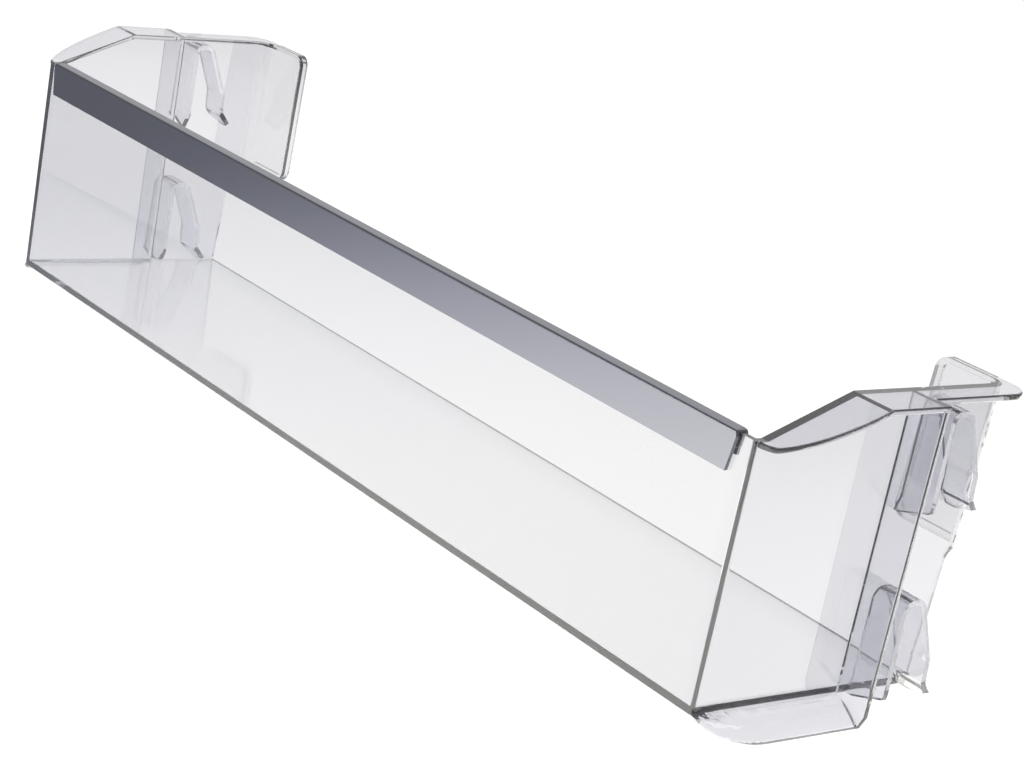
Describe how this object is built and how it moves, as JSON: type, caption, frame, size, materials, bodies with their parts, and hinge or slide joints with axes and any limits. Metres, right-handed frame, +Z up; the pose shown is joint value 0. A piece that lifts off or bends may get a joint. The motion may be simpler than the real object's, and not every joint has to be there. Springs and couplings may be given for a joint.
{
  "type": "fridge door shelf",
  "caption": "Clear moulded shelf for a refrigerator door: open-backed tray with side lips, hook ribs on its end walls and a grey trim strip along the front panel's top edge.",
  "frame": {"origin": "middle of the length and depth, at the level of the two skirts it stands on", "axes": "+X along the shelf to the right as seen from the front, +Y to the open back, +Z up"},
  "size_m": [0.506, 0.1165, 0.1152],
  "materials": {
    "clear_plastic": "clear, polished",
    "satin_grey": "satin metallic grey"
  },
  "bodies": {
    "root": {"shelf": "clear_plastic", "trim_strip": "satin_grey"}
  },
  "joints": []
}
